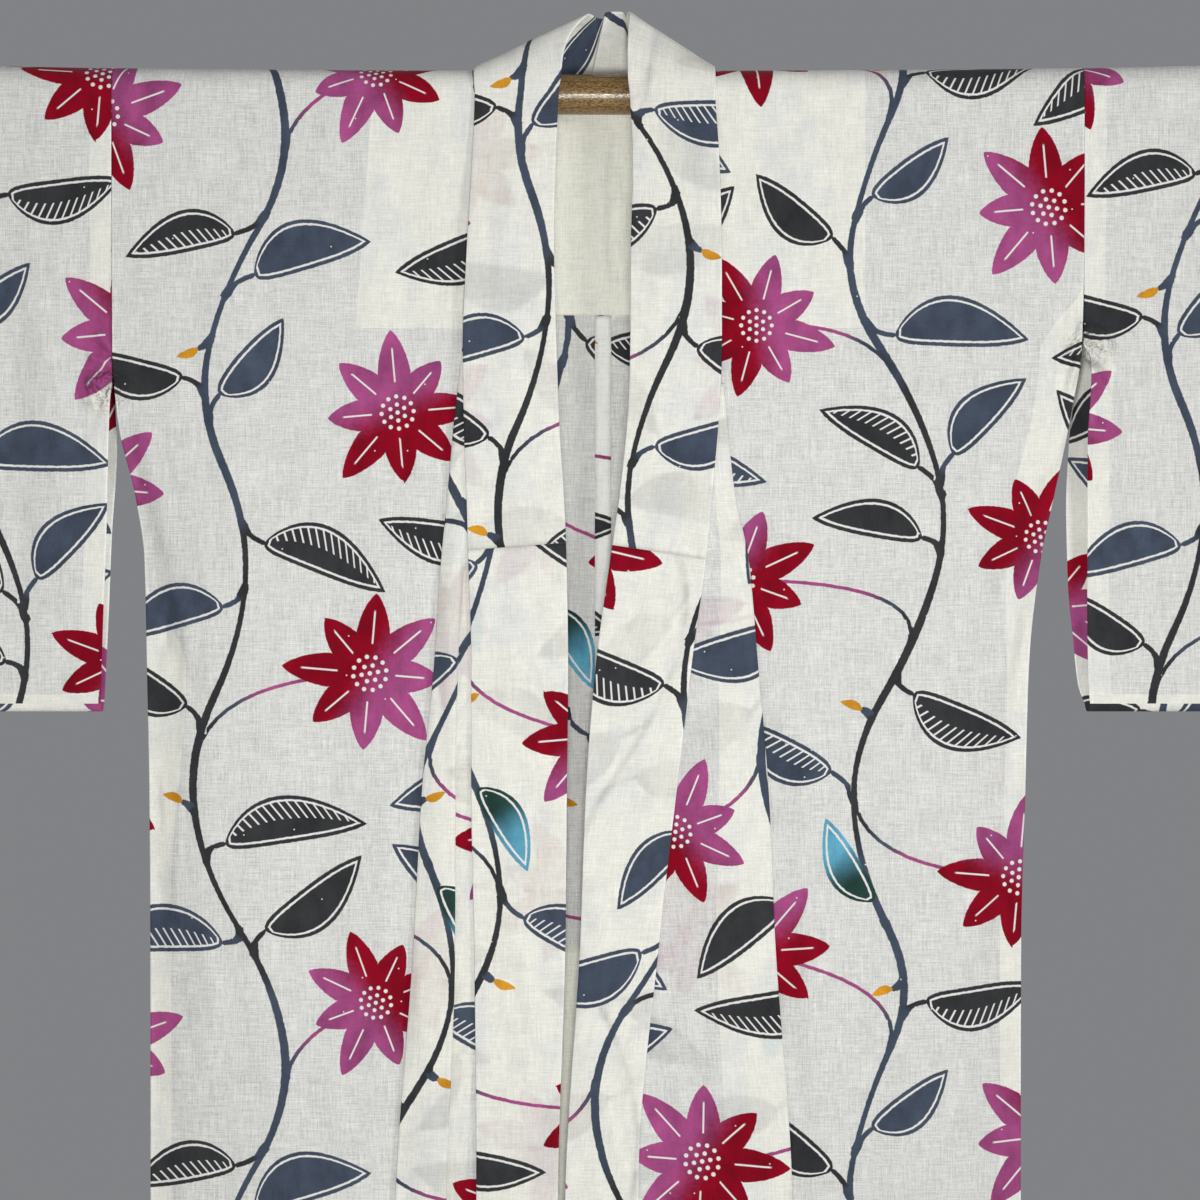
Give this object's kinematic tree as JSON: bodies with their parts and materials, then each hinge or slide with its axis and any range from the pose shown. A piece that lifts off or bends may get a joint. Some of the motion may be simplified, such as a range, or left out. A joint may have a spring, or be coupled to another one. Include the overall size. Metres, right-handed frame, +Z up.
{
  "type": "yukata robe on hanging rod",
  "caption": "Unlined cotton yukata robe with a printed flower and leaf design, hung flat through its sleeves on a round wooden rod.",
  "frame": {"origin": "middle of the rod's length, on the rod's axis, where whatever holds the rod carries it", "axes": "+Z up, -Y the robe's fronts, +X along the rod towards the wearer's left sleeve"},
  "size_m": [1.4, 0.0413, 1.6394],
  "materials": {
    "printed_cotton": "matt plain-weave cotton with slubs, dyed through with crimson, magenta, slate and charcoal",
    "plain_cotton": "matt undyed plain-weave cotton lining",
    "lacquered_wood": "clear lacquered light brown wood"
  },
  "bodies": {
    "root": {"body_left": "printed_cotton", "body_right": "printed_cotton", "collar_left": "printed_cotton", "collar_right": "printed_cotton", "okumi_left": "printed_cotton", "okumi_right": "printed_cotton", "over_collar": "printed_cotton", "rod": "lacquered_wood", "seam_allowance": "printed_cotton", "seat_lining": "plain_cotton", "shoulder_lining": "plain_cotton", "sleeve_left": "printed_cotton", "sleeve_right": "printed_cotton"}
  },
  "joints": []
}
